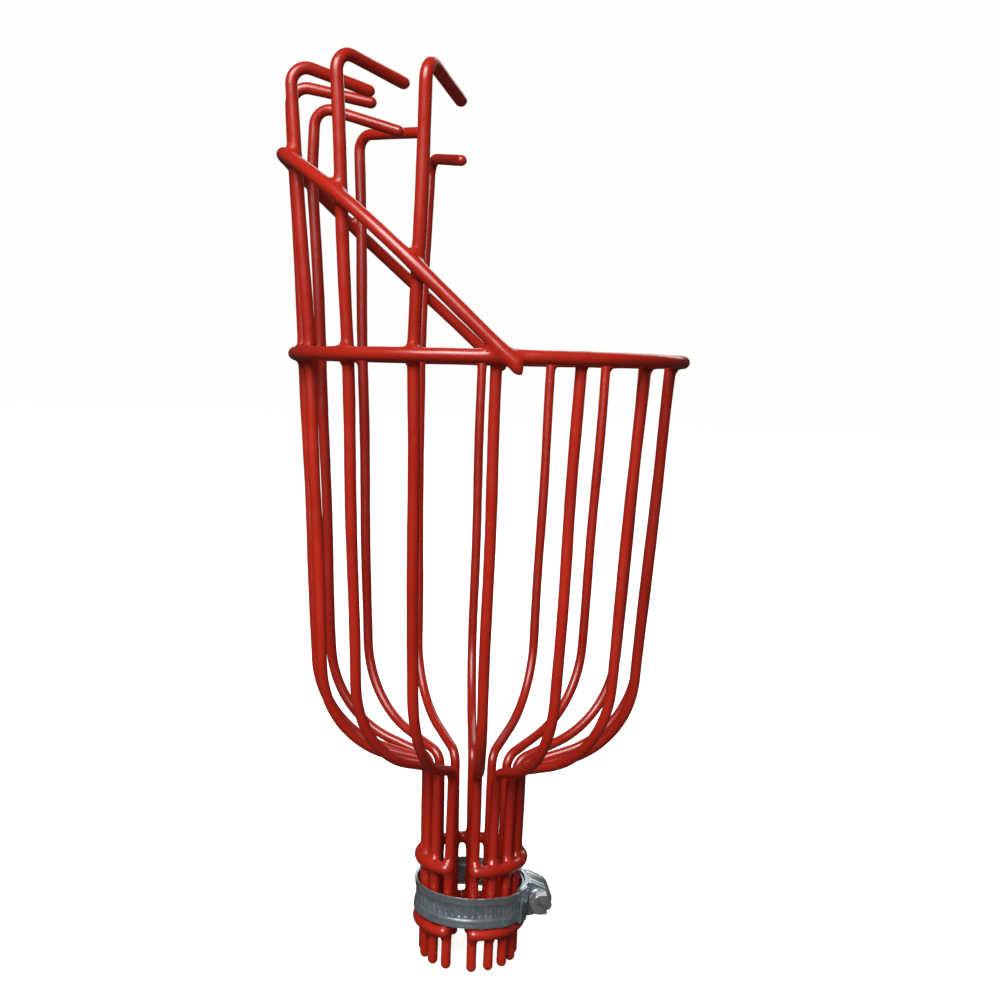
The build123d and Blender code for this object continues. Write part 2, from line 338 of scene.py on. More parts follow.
def crosses(first, second):
    """Only wires against hoops and collars flow together, and the guard with the rim."""
    hoops = (first.node in HOOPS) + (second.node in HOOPS)
    return hoops == 1 or {first.node, second.node} == {"rim_hoop", "guard_hoop"}


def stations(rod, neighbours):
    """Arc lengths of the rod's rings: close together at crossings, wide on plain runs."""
    coarse = rod.path.points[::COARSE]
    clearance = np.full(len(coarse), np.inf)
    for other in neighbours:
        clearance = np.minimum(clearance, nearest(coarse, other.path.points[::COARSE]))
    coarse_reach = rod.path.reach[::COARSE]
    bent = rod.path.bent[::COARSE]
    reaches = [0.0]
    while reaches[-1] < rod.path.length:
        index = min(np.searchsorted(coarse_reach, reaches[-1]), len(coarse) - 1)
        step = BEND_STEP if bent[index] else PLAIN_STEP
        if clearance[index] < CROSSING_CORE:
            step = CROSSING_STEP
        elif clearance[index] < CROSSING_REACH:
            step = min(step, BEND_STEP)
        reaches.append(reaches[-1] + step)
    return np.array(reaches) * rod.path.length / reaches[-1]


def frames_along(centres, closed):
    """Tangent and two cross directions at each ring, turning as little as possible."""
    if closed:
        tangents = np.roll(centres, -1, 0) - np.roll(centres, 1, 0)
    else:
        tangents = np.gradient(centres, axis=0)
    tangents /= np.linalg.norm(tangents, axis=1)[:, None]
    side = np.cross(tangents[0], OFF_EVERY_WIRE)
    sides = []
    for tangent in tangents:
        side = side - tangent * (side @ tangent)
        side /= np.linalg.norm(side)
        sides.append(side)
    sides = np.array(sides)
    return tangents, sides, np.cross(tangents, sides)


def dome_spokes(last_spokes, outward, length, drip):
    """Spokes of the rings that close an end, from its last ring's centre."""
    out = outward - (0.0, 0.0, drip)
    out *= length / np.linalg.norm(out)
    turns = np.linspace(0, math.pi / 2, DOME_STEPS + 1)[1:-1]
    return [
        last_spokes * math.cos(turn) ** (1 + drip) + out * math.sin(turn) for turn in turns
    ]


def rings_of(rod, neighbours):
    """Centres and spokes of every ring of the rod's mesh, domes included."""
    reaches = stations(rod, neighbours)
    if rod.closed:
        reaches = reaches[:-1]
    centres = rod.path.at(reaches)
    tangents, sides, ups = frames_along(centres, rod.closed)
    radii = rod.radius(reaches)
    angles = 2 * math.pi * np.arange(SIDES) / SIDES
    circle = np.cos(angles)[:, None, None] * sides + np.sin(angles)[:, None, None] * ups
    spokes = circle.transpose(1, 0, 2) * radii[:, None, None]
    if rod.closed:
        return centres, spokes
    lengths = radii[0] * rod.domes[0], radii[-1] * rod.domes[1]
    first = dome_spokes(spokes[0], -tangents[0], lengths[0], 0.0)
    last = dome_spokes(spokes[-1], tangents[-1], lengths[1], rod.drip)
    starts = np.repeat(centres[:1], len(first), 0)
    ends = np.repeat(centres[-1:], len(last), 0)
    return np.concatenate((starts, centres, ends)), np.concatenate((first[::-1], spokes, last))


def coat_near(other, centres):
    """The other rod's samples near these centres, with its coat's radius at each."""
    samples = other.path.points[::FINE]
    close = nearest(samples, centres) < CROSSING_REACH + CROSSING_MARGIN
    return samples[close], other.radius(other.path.reach[::FINE][close])


def gaps_to_coat(points, samples, radii):
    """Distance from each point to the coat round the closest sample."""
    squares = squares_between(points, samples)
    index = squares.argmin(1)
    closest = np.sqrt(np.maximum(squares[np.arange(len(index)), index], 0))
    return closest - radii[index]


def first_crossing(level, rises):
    """Rise at which each row's level falls through zero."""
    rows = np.arange(len(level))
    inside = level > 0
    first_out = np.where(inside.all(1), len(rises) - 1, inside.argmin(1))
    before = np.maximum(first_out - 1, 0)
    high, low = level[rows, before], level[rows, first_out]
    share = np.where(high > low, np.clip(high / np.maximum(high - low, 1e-9), 0, 1), 0)
    share = np.where(first_out == 0, 0, share)
    rise = rises[before] + share * (rises[first_out] - rises[before])
    return np.where(inside.all(1), SWELL_LIMIT, rise)


def swell(centres, spokes, neighbours, sink):
    """Moves a rod's surface out along its spokes to where the merged vinyl ends.

    Each rod adds a soft density that falls off with the distance from its surface;
    the merged surface is where the densities add up to one.
    """
    rises = np.linspace(SWELL_START, SWELL_LIMIT, RISE_STEPS)
    flat_spokes = spokes.reshape(-1, 3)
    starts = np.repeat(centres, SIDES, 0)
    lengths = np.linalg.norm(flat_spokes, axis=1)
    outs = flat_spokes / lengths[:, None]
    density = np.exp(-rises / WEB_SIZE) * np.ones((len(starts), 1))
    touched = np.zeros(len(starts), bool)
    for other in neighbours:
        near = nearest(centres, other.path.points[::COARSE]) < CROSSING_REACH
        rows = np.flatnonzero(np.repeat(near, SIDES))
        if len(rows) == 0:
            continue
        touched[rows] = True
        samples, radii = coat_near(other, centres[near])
        for column, rise in enumerate(rises):
            points = starts[rows] + outs[rows] * (lengths[rows] + rise)[:, None]
            gaps = gaps_to_coat(points, samples, radii)
            density[rows, column] += np.exp(-gaps / WEB_SIZE)
    level = np.log(density[touched]) * WEB_SIZE - sink
    grown = flat_spokes.copy()
    reach = lengths[touched] + first_crossing(level, rises)
    grown[touched] = outs[touched] * reach[:, None]
    return grown.reshape(spokes.shape)


# --- Meshes ------------------------------------------------------------------------
def mesh_piece(name, points, faces, material, body, node, crease=None):
    """New piece from points in millimetres, standing for one node of the frame."""
    mesh = bpy.data.meshes.new(name)
    mesh.from_pydata((np.asarray(points) * MM).tolist(), [], faces)
    mesh.shade_smooth()
    if crease:
        mesh.set_sharp_from_angle(angle=math.radians(crease))
    mesh.materials.append(material)
    piece = bpy.data.objects.new(name, mesh)
    bpy.context.scene.collection.objects.link(piece)
    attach(piece, body)
    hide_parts(node)
    return piece


def skin_faces(rings, sides, closed=False):
    """Quads between neighbouring rings of points."""
    faces = []
    for ring in range(rings if closed else rings - 1):
        here, there = ring * sides, (ring + 1) % rings * sides
        for side in range(sides):
            beside = (side + 1) % sides
            faces.append((here + side, here + beside, there + beside, there + side))
    return faces


def pole_faces(rings, sides):
    """Fans that close both ends of an open tube on the two points after its rings."""
    faces = []
    top = (rings - 1) * sides
    for side in range(sides):
        beside = (side + 1) % sides
        faces.append((beside, side, rings * sides))
        faces.append((top + side, top + beside, rings * sides + 1))
    return faces


def flat_caps(rings, sides):
    top = (rings - 1) * sides
    return [tuple(range(sides))[::-1], tuple(range(top, top + sides))]


def rod_piece(rod, rods, material):
    neighbours = [other for other in rods if other is not rod and crosses(rod, other)]
    centres, spokes = rings_of(rod, neighbours)
    sink = 0.0 if rod.node in HOOPS else WIRE_SINK
    rings = centres[:, None, :] + swell(centres, spokes, neighbours, sink)
    points = rings.reshape(-1, 3)
    faces = skin_faces(len(rings), SIDES, rod.closed)
    if not rod.closed:
        middles = rings.mean(1)
        poles = [
            middles[end] + (middles[end] - middles[beside]) * POLE_RISE
            for end, beside in ((0, 1), (-1, -2))
        ]
        points = np.concatenate((points, poles))
        faces += pole_faces(len(rings), SIDES)
    name = f"{rod.node}_vinyl"
    return mesh_piece(name, points, faces, material, "basket_frame", rod.node)


# --- Clamp -------------------------------------------------------------------------
# Azimuths are in degrees from the screw's middle, which lies CLAMP_AZIMUTH round from
# +X; the screw's head points towards -Y. Heights are from the middle of the band.
CLAMP_HEIGHT = 23.05
CLAMP_AZIMUTH = 3.0
CLAMP_TILT = 1.8             # the band sits askew
CLAMP_LOW_AZIMUTH = -45.0    # where it is lowest
BAND_HALF_WIDTH = 5.5
BAND_THICKNESS = 0.8
INNER_LAYER = 18.9           # inside radius of the band's first turn
OUTER_LAYER = 20.45          # inside radius of the tail, which runs under the screw
BAND_START = -30.0
BAND_END = 412.0
STEP = (280.0, 320.0)        # here the band climbs from the first layer to the second
ROLLS_BEGIN = (24.0, 34.0)   # the rolled edges set in where the band leaves the saddle,
ROLLS_FLATTEN = (304.0, 316.0)   # flatten to pass under the screw
ROLLS_RETURN = (384.0, 392.0)    # and return on the tail
BAND_STATIONS = 492
BAND_COLUMNS = 31
BAND_EDGE = 0.12             # rounding of the strip's cut edges
TAIL_CORNER = 2.6
TAIL_CORNER_SHARE = 0.98     # of that rounding, short of where the outline turns square on
ROLL_HEIGHT = 0.42           # how far the band's rolled edges stand out
ROLL_WIDTH = (2.3, 3.7)      # crest and foot of the roll, from the edge
BEAD_HEIGHT = 0.16           # a second, narrow bead right at the edge
BEAD_WIDTH = (0.7, 1.5)
MARK_START = 96.0            # where the pressed thread marks set in
MARK_RUN_IN = 6.0
MARK_TAIL_GAP = (2.0, 3.5)   # and how far from the tail's end they fade
MARK_PITCH = 2.35
MARK_DEPTH = 0.36
MARK_HALF_HEIGHT = (1.0, 1.6)
MARK_SLANT = 0.35
MARK_SHARPNESS = (-0.2, 0.9)
SADDLE_RADIUS = 19.72
SADDLE_THICKNESS = 0.68
SADDLE_ENDS = (-37.5, 24.0)
SADDLE_HALF_WIDTH = 5.65
FLANGE_HALF_WIDTH = 6.2
COVER_RADIUS = 21.35         # top of the flanges, where the housing stands
STRAP_END = -24.5
STRAP_TOP = 22.15
PLATE_END_RUN = 0.6          # degrees over which a plate's end rounds off
PLATE_END_INSET = 0.2
PLATE_STATIONS = 28
PLATE_STATIONS_INSET = 2.0   # degrees from each end to the evenly spaced stations
CHANNEL_ROUNDING = 0.2
STRAP_ROUNDING = 0.25
SCREW_DISTANCE = 24.85
HOUSING_HALF_LENGTH = 6.5
HOUSING_PLAIN_HALF = 5.4     # reach of the ribbed part between the rounded ends
HOUSING_RADIUS = 4.65
FOOT_TOP = 22.35
FOOT_DEPTH = 1.0             # the feet start this far inside COVER_RADIUS, to be cut flush
END_ROUNDING = 0.9
HOUSING_STATIONS = 60
CROWN_POINTS = 60
CAVITY_RADIUS = 3.65
CAVITY_HALF_LENGTH = 4.9
CUT_HALF_ANGLE = 40.0        # of the wedge that cuts the feet to the saddle's round
CUT_HALF_WIDTH = 9.0
CUT_POINTS = 121
RIB_PLACES = (-3.4, 3.4)
RIB_HALF_WIDTH = 0.45
RIB_DEPTH = 0.28
ROUND_SIDES = 64
TIP_HOLE = (1.65, (-9.0, -4.0))      # radius, and the reach along the screw that is cut
HEAD_HOLE = (2.25, (4.0, 9.0))
SCREW_SIDES = 96
TIP_RADIUS = 1.6
JOURNAL_RADIUS = 2.2
STEP_GAP = 0.02              # between rings where the screw's radius jumps
THREAD_HALF_LENGTH = 4.75
THREAD_STATIONS = 76
THREAD_ROOT = 2.8
THREAD_CREST = 3.5
THREAD_FLANK = (0.17, 0.33)  # shares of a turn between root and crest
THREAD_RUN_OUT = 0.9
WASHER_START = 6.65
WASHER_RADIUS = 4.0
HEAD_START = 7.55
HEAD_END = 11.75
HEAD_STATIONS = 30
HALF_ACROSS_FLATS = 3.5
CORNER_RADIUS = 4.04         # of the hexagon, just short of its sharp corners
HEAD_CHAMFER = 0.7
CHAMFER_SLOPE = 0.9
FACE_RADIUS = 2.6
SLOT_WIDTH = 1.2
SLOT_DEPTH = 1.8
SLOT_HALF_LENGTH = 6.0
SLOT_ANGLE = -40.0


def smooth(value, low, high):
    """0 below low, 1 above high and an S-curve between."""
    share = np.clip((value - low) / (high - low), 0.0, 1.0)
    return share * share * (3 - 2 * share)


def clamp_turn():
    """Rotation from the clamp's own axes, with the screw's middle on +X, to the frame's."""
    low = Matrix.Rotation(math.radians(CLAMP_LOW_AZIMUTH), 3, "Z")
    tilt = low @ Matrix.Rotation(math.radians(CLAMP_TILT), 3, "Y") @ low.transposed()
    return np.array(tilt @ Matrix.Rotation(math.radians(CLAMP_AZIMUTH), 3, "Z"))


def along_screw(outward, along, height):
    """Place beside the screw: outward from the cage's axis and along towards the head."""
    outward, along, height = np.broadcast_arrays(outward, along, height)
    own = np.stack((outward, -along, height), -1)
    return own @ clamp_turn().T + (0.0, 0.0, CLAMP_HEIGHT)


def round_clamp(radius, azimuth, height):
    """Place on the clamp from its own cylinder's radius, azimuth and height."""
    angle = np.radians(azimuth)
    return along_screw(radius * np.cos(angle), -radius * np.sin(angle), height)


def edge_roll(azimuth, from_edge):
    """How far the rolled edge and its bead stand out."""
    under_screw = smooth(azimuth, *ROLLS_FLATTEN) * (1 - smooth(azimuth, *ROLLS_RETURN))
    rolled = smooth(azimuth, *ROLLS_BEGIN) * (1 - under_screw)
    roll = ROLL_HEIGHT * (1 - smooth(from_edge, *ROLL_WIDTH))
    return rolled * (roll + BEAD_HEIGHT * (1 - smooth(from_edge, *BEAD_WIDTH)))


def thread_mark(azimuth, from_tail, radius, height):
    """Depth of the slanted marks that the worm's thread runs in."""
    arc = np.radians(azimuth - MARK_START) * radius
    stroke = np.cos(2 * math.pi * (arc + MARK_SLANT * height) / MARK_PITCH)
    marked = smooth(azimuth, MARK_START, MARK_START + MARK_RUN_IN)
    marked = marked * smooth(from_tail, *MARK_TAIL_GAP)
    mark = MARK_DEPTH * marked * smooth(stroke, *MARK_SHARPNESS)
    return mark * (1 - smooth(np.abs(height), *MARK_HALF_HEIGHT))


def band_piece(material):
    """One strip with rolled edges, an embossed thread and a rounded tail."""
    azimuth = np.linspace(BAND_START, BAND_END, BAND_STATIONS)[:, None]
    inside = INNER_LAYER + (OUTER_LAYER - INNER_LAYER) * smooth(azimuth, *STEP)
    from_tail = np.radians(BAND_END - azimuth) * OUTER_LAYER
    corner = np.clip(TAIL_CORNER - from_tail, 0.0, TAIL_CORNER * TAIL_CORNER_SHARE)
    half_width = BAND_HALF_WIDTH - TAIL_CORNER + np.sqrt(TAIL_CORNER ** 2 - corner ** 2)
    across = np.linspace(-1.0, 1.0, BAND_COLUMNS)[None, :]
    height = across * (half_width - BAND_EDGE)
    roll = edge_roll(azimuth, half_width - np.abs(height))
    mark = thread_mark(azimuth, from_tail, inside + BAND_THICKNESS, height)
    outer = round_clamp(inside + BAND_THICKNESS + roll - mark, azimuth, height)
    inner = round_clamp(inside + roll, azimuth, height)
    edges = [
        round_clamp(inside + BAND_THICKNESS / 2 + roll[:, side], azimuth, way * half_width)
        for side, way in ((slice(-1, None), 1), (slice(0, 1), -1))
    ]
    rings = np.concatenate((outer, edges[0], inner[:, ::-1], edges[1]), 1)
    sides = rings.shape[1]
    faces = skin_faces(BAND_STATIONS, sides) + flat_caps(BAND_STATIONS, sides)
    return mesh_piece(
        "clamp_band_strip", rings.reshape(-1, 3), faces, material, "clamp", "clamp_band",
        crease=50,
    )


def rounded_outline(corners, rounding, steps=4):
    """Closed outline in the plane with its corners rounded."""
    corners = [np.array(corner, float) for corner in corners]
    outline = []
    for index, corner in enumerate(corners):
        before, after = corners[index - 1], corners[(index + 1) % len(corners)]
        start = corner + (before - corner) * rounding / np.linalg.norm(before - corner)
        end = corner + (after - corner) * rounding / np.linalg.norm(after - corner)
        for share in np.linspace(0.0, 1.0, steps + 1):
            outline.append(
                start * (1 - share) ** 2 + corner * 2 * share * (1 - share) + end * share ** 2
            )
    return np.array(outline)


def loft_rings(outline, stations, insets, place):
    """The outline at each station, drawn in by the station's inset."""
    along = np.roll(outline, -1, 0) - np.roll(outline, 1, 0)
    inward = np.stack((-along[:, 1], along[:, 0]), 1)
    inward /= np.linalg.norm(inward, axis=1)[:, None]
    rings = []
    for station, inset in zip(stations, insets):
        drawn = outline + inward * inset
        rings.append(place(drawn[:, 0], np.full(len(drawn), station), drawn[:, 1]))
    return np.array(rings)


def rounded_ends(start, end, rounding, steps=4):
    """Stations and insets that round the two ends of a loft."""
    turns = np.linspace(0.0, math.pi / 2, steps + 1)
    near = [(start + rounding * (1 - math.cos(t)), rounding * (1 - math.sin(t))) for t in turns]
    far = [(end - rounding * (1 - math.cos(t)), rounding * (1 - math.sin(t))) for t in turns]
    return near, far[::-1]


def solid(rings):
    """A closed mesh object from rings, as a block for the boolean cuts."""
    mesh = bpy.data.meshes.new("block")
    count, sides = rings.shape[:2]
    faces = skin_faces(count, sides) + flat_caps(count, sides)
    mesh.from_pydata((rings.reshape(-1, 3) * MM).tolist(), [], faces)
    work = bmesh.new()
    work.from_mesh(mesh)
    bmesh.ops.recalc_face_normals(work, faces=work.faces)
    work.to_mesh(mesh)
    work.free()
    block = bpy.data.objects.new("block", mesh)
    bpy.context.scene.collection.objects.link(block)
    return block


def combine(block, other, operation):
    """Joins or cuts two blocks and drops the second."""
    modifier = block.modifiers.new("combine", "BOOLEAN")
    modifier.operation = operation
    modifier.solver = "EXACT"
    modifier.object = other
    graph = bpy.context.evaluated_depsgraph_get()
    block.data = bpy.data.meshes.new_from_object(block.evaluated_get(graph))
    block.modifiers.clear()
    bpy.data.objects.remove(other)


def block_piece(name, block, material, body, node, crease=32):
    """Turns a finished block into a piece."""
    points = [tuple(vertex.co / MM) for vertex in block.data.vertices]
    faces = [tuple(face.vertices) for face in block.data.polygons]
    bpy.data.objects.remove(block)
    return mesh_piece(name, points, faces, material, body, node, crease)


def swept_plate(corners, rounding, start, end):
    """Plate bent round the clamp's axis: an outline of radius and height, swept."""
    near, far = rounded_ends(start, end, PLATE_END_RUN)
    plain = start + PLATE_STATIONS_INSET, end - PLATE_STATIONS_INSET
    middle = [(azimuth, 0.0) for azimuth in np.linspace(*plain, PLATE_STATIONS)]
    stations, insets = zip(*(near + middle + far))
    insets = [inset * PLATE_END_INSET / PLATE_END_RUN for inset in insets]
    return solid(loft_rings(rounded_outline(corners, rounding), stations, insets, round_clamp))


def saddle_piece(material):
    """Channel under the threaded tail, with a strap over the band at its near end."""
    base_top = SADDLE_RADIUS + SADDLE_THICKNESS
    channel = (
        (SADDLE_RADIUS, -FLANGE_HALF_WIDTH), (COVER_RADIUS, -FLANGE_HALF_WIDTH),
        (COVER_RADIUS, -SADDLE_HALF_WIDTH), (base_top, -SADDLE_HALF_WIDTH),
        (base_top, SADDLE_HALF_WIDTH), (COVER_RADIUS, SADDLE_HALF_WIDTH),
        (COVER_RADIUS, FLANGE_HALF_WIDTH), (SADDLE_RADIUS, FLANGE_HALF_WIDTH),
    )
    strap = (
        (COVER_RADIUS, -FLANGE_HALF_WIDTH), (STRAP_TOP, -FLANGE_HALF_WIDTH),
        (STRAP_TOP, FLANGE_HALF_WIDTH), (COVER_RADIUS, FLANGE_HALF_WIDTH),
    )
    block = swept_plate(channel, CHANNEL_ROUNDING, *SADDLE_ENDS)
    combine(block, swept_plate(strap, STRAP_ROUNDING, SADDLE_ENDS[0], STRAP_END), "UNION")
    return block_piece("clamp_saddle_plate", block, material, "clamp", "clamp_saddle")


def dome_outline(crown_radius, half_width):
    """Crown round the screw that widens straight down to its two feet."""
    foot_bottom = COVER_RADIUS - FOOT_DEPTH
    reach = math.hypot(SCREW_DISTANCE - FOOT_TOP, half_width)
    foot_angle = math.atan2(half_width, FOOT_TOP - SCREW_DISTANCE)
    tangent = foot_angle - math.acos(min(1.0, crown_radius / reach))
    angles = np.linspace(-tangent, tangent, CROWN_POINTS)
    crown = [
        (SCREW_DISTANCE + crown_radius * math.cos(a), crown_radius * math.sin(a)) for a in angles
    ]
    corners = crown + [
        (FOOT_TOP, half_width), (foot_bottom, half_width),
        (foot_bottom, -half_width), (FOOT_TOP, -half_width),
    ]
    return np.array(corners)


def prism(outline, ends):
    """Straight block along the screw."""
    return solid(loft_rings(outline, ends, (0, 0), along_screw))


def saddle_cutter():
    """Wedge from near the axis out to the round that the housing stands on."""
    angles = np.linspace(-CUT_HALF_ANGLE, CUT_HALF_ANGLE, CUT_POINTS)
    wedge = [(COVER_RADIUS, angle) for angle in angles]
    wedge = np.array(wedge + [(1.0, CUT_HALF_ANGLE), (1.0, -CUT_HALF_ANGLE)])
    levels = (-CUT_HALF_WIDTH, CUT_HALF_WIDTH)
    return solid(np.array([round_clamp(wedge[:, 0], wedge[:, 1], level) for level in levels]))


def ribbed_shell():
    """The housing's outside: rounded ends and two shallow grooves across."""
    outline = dome_outline(HOUSING_RADIUS, FLANGE_HALF_WIDTH)
    near, far = rounded_ends(-HOUSING_HALF_LENGTH, HOUSING_HALF_LENGTH, END_ROUNDING)
    middle = []
    for along in np.linspace(-HOUSING_PLAIN_HALF, HOUSING_PLAIN_HALF, HOUSING_STATIONS):
        ribs = (math.exp(-(((along - place) / RIB_HALF_WIDTH) ** 2)) for place in RIB_PLACES)
        middle.append((along, RIB_DEPTH * sum(ribs)))
    stations, insets = zip(*(near + middle + far))
    return solid(loft_rings(outline, stations, insets, along_screw))


def housing_piece(material):
    """Pressed dome over the screw, open below, with a bearing in each end."""
    block = ribbed_shell()
    cavity = dome_outline(CAVITY_RADIUS, SADDLE_HALF_WIDTH)
    combine(block, prism(cavity, (-CAVITY_HALF_LENGTH, CAVITY_HALF_LENGTH)), "DIFFERENCE")
    combine(block, saddle_cutter(), "DIFFERENCE")
    turns = np.linspace(0.0, 2 * math.pi, ROUND_SIDES + 1)[:-1]
    for radius, ends in (TIP_HOLE, HEAD_HOLE):
        hole = np.stack((SCREW_DISTANCE + radius * np.cos(turns), radius * np.sin(turns)), 1)
        combine(block, prism(hole, ends), "DIFFERENCE")
    return block_piece(
        "clamp_housing_dome", block, material, "clamp", "clamp_housing"
    )


def screw_profile():
    """Stations along the screw with their radii: tip, thread, journal, washer, head."""
    thread_end = THREAD_HALF_LENGTH + STEP_GAP
    profile = [(-7.0, 1.25), (-6.9, 1.5), (-6.7, TIP_RADIUS), (-thread_end, TIP_RADIUS)]
    for along in np.linspace(-THREAD_HALF_LENGTH, THREAD_HALF_LENGTH, THREAD_STATIONS):
        profile.append((along, THREAD_ROOT))
    profile += [(thread_end, JOURNAL_RADIUS), (WASHER_START - 0.01, JOURNAL_RADIUS)]
    for inset, drop in ((0.0, 0.2), (0.06, 0.05), (0.2, 0.0)):
        profile.append((WASHER_START + inset, WASHER_RADIUS - drop))
    for inset, drop in ((0.25, 0.0), (0.08, 0.07), (0.01, 0.3)):
        profile.append((HEAD_START - inset, WASHER_RADIUS - drop))
    for along in np.linspace(HEAD_START, HEAD_END, HEAD_STATIONS):
        profile.append((along, CORNER_RADIUS))
    return profile + [(HEAD_END + 0.005, FACE_RADIUS)]


def screw_radius(along, radius, turns):
    """Radius all round the screw at one station: thread, flats and chamfer."""
    radii = np.full(len(turns), radius)
    if abs(along) <= THREAD_HALF_LENGTH:
        phase = (along / MARK_PITCH - turns / (2 * math.pi)) % 1.0
        crest = smooth(0.5 - np.abs(phase - 0.5), *THREAD_FLANK)
        run_out = smooth(THREAD_HALF_LENGTH - abs(along), 0.0, THREAD_RUN_OUT)
        radii += (THREAD_CREST - THREAD_ROOT) * crest * run_out
    if along >= HEAD_START:
        sixth = math.pi / 3
        flats = HALF_ACROSS_FLATS / np.cos((turns % sixth) - sixth / 2)
        past_chamfer = max(0.0, along - (HEAD_END - HEAD_CHAMFER))
        radii = np.minimum(flats, min(radius, CORNER_RADIUS - CHAMFER_SLOPE * past_chamfer))
    return radii


def screw_piece(material):
    turns = np.linspace(0.0, 2 * math.pi, SCREW_SIDES + 1)[:-1]
    rings = []
    for along, radius in screw_profile():
        radii = screw_radius(along, radius, turns)
        outward = SCREW_DISTANCE + radii * np.cos(turns)
        rings.append(along_screw(outward, np.full(SCREW_SIDES, along), radii * np.sin(turns)))
    block = solid(np.array(rings))
    slot_turn = math.radians(SLOT_ANGLE)
    long_side = SLOT_HALF_LENGTH * np.array((math.cos(slot_turn), math.sin(slot_turn)))
    short_side = SLOT_WIDTH / 2 * np.array((-math.sin(slot_turn), math.cos(slot_turn)))
    corners = [a * long_side + b * short_side for a, b in ((1, 1), (-1, 1), (-1, -1), (1, -1))]
    outline = np.array(corners) + (SCREW_DISTANCE, 0.0)
    combine(block, prism(outline, (HEAD_END - SLOT_DEPTH, HEAD_END + 1.0)), "DIFFERENCE")
    return block_piece("worm_screw_threaded", block, material, "screw", "worm_screw")


# --- Materials ---------------------------------------------------------------------
# Scales are in waves per metre, bump depths in metres.
VINYL_DEEP = (0.28, 0.0090, 0.0028)
VINYL_LIGHT = (0.37, 0.0140, 0.0038)
VINYL_SCUFF = (0.37, 0.0200, 0.0090)
SCUFF_ROUGHNESS = (0.42, 0.42, 0.42)
ZINC_DARK = (0.34, 0.41, 0.46)
ZINC_LIGHT = (0.56, 0.63, 0.68)
ZINC_DULL = (0.44, 0.47, 0.45)
STEEL_DARK = (0.34, 0.34, 0.35)
STEEL_LIGHT = (0.60, 0.60, 0.61)
STEEL_DULL = (0.42, 0.41, 0.40)


class Surface:
    """A node material on the object's own coordinates, in metres."""

    def __init__(self, name):
        self.material = bpy.data.materials.new(name)
        self.material.use_nodes = True
        self.nodes = self.material.node_tree.nodes
        self.links = self.material.node_tree.links
        self.shader = self.nodes["Principled BSDF"]
        self.place = self.nodes.new("ShaderNodeTexCoord").outputs["Object"]

    def set(self, **values):
        for socket, value in values.items():
            self.shader.inputs[socket.replace("_", " ")].default_value = value

    def noise(self, scale, detail, stretch=None):
        """Value of 0 to 1 that varies over about 1/scale metres."""
        node = self.nodes.new("ShaderNodeTexNoise")
        node.inputs["Scale"].default_value = scale
        node.inputs["Detail"].default_value = detail
        place = self.place
        if stretch:
            mapping = self.nodes.new("ShaderNodeMapping")
            mapping.inputs["Scale"].default_value = stretch
            self.links.new(place, mapping.inputs["Vector"])
            place = mapping.outputs["Vector"]
        self.links.new(place, node.inputs["Vector"])
        return node.outputs["Fac"]

    def cells(self, scale):
        node = self.nodes.new("ShaderNodeTexVoronoi")
        node.inputs["Scale"].default_value = scale
        self.links.new(self.place, node.inputs["Vector"])
        return node.outputs["Color"]

    def ramp(self, value, *stops):
        """Colours, or greys for single numbers, at places along the value."""
        node = self.nodes.new("ShaderNodeValToRGB")
        elements = node.color_ramp.elements
        while len(elements) < len(stops):
            elements.new(0.5)
        for element, (position, colour) in zip(elements, stops):
            element.position = position
            colour = colour if isinstance(colour, tuple) else (colour,) * 3
            element.color = (*colour, 1.0)
        self.links.new(value, node.inputs["Fac"])
        return node.outputs["Color"]

    def mix(self, share, first, second):
        """Blend of two colours, each of them a constant or another node's output."""
        node = self.nodes.new("ShaderNodeMix")
        node.data_type = "RGBA"
        for name, value in (("Factor", share), ("A", first), ("B", second)):
            socket = next(i for i in node.inputs if i.name == name and i.enabled)
            if isinstance(value, float):
                socket.default_value = value
            elif isinstance(value, tuple):
                socket.default_value = (*value, 1.0)
            else:
                self.links.new(value, socket)
        return next(o for o in node.outputs if o.enabled)

    def bump(self, height, strength, distance, onto=None):
        """Normal tilted by a height, on top of another bump if there is one."""
        node = self.nodes.new("ShaderNodeBump")
        node.inputs["Strength"].default_value = strength
        node.inputs["Distance"].default_value = distance
        self.links.new(height, node.inputs["Height"])
        if onto:
            self.links.new(onto, node.inputs["Normal"])
        return node.outputs["Normal"]

    def join(self, output, socket):
        self.links.new(output, self.shader.inputs[socket])


def vinyl():
    """Thick glossy dipped vinyl: uneven red, faint orange peel and dull scuffs."""
    surface = Surface("red_vinyl_dip")
    surface.set(Metallic=0.0, IOR=1.52, Coat_Weight=0.25, Coat_Roughness=0.08)
    broad = surface.noise(22.0, 2.0)
    colour = surface.ramp(broad, (0.3, VINYL_DEEP), (0.7, VINYL_LIGHT))
    scuffs = surface.ramp(surface.noise(210.0, 6.0), (0.66, 0.0), (0.78, 0.6))
    surface.join(surface.mix(scuffs, colour, VINYL_SCUFF), "Base Color")
    gloss = surface.ramp(surface.noise(130.0, 3.0), (0.3, 0.25), (0.75, 0.4))
    surface.join(surface.mix(scuffs, gloss, SCUFF_ROUGHNESS), "Roughness")
    ripples = surface.bump(surface.noise(240.0, 2.0), 0.3, 0.0002)
    surface.join(surface.bump(surface.noise(1500.0, 2.0), 0.08, 0.00008, ripples), "Normal")
    return surface.material


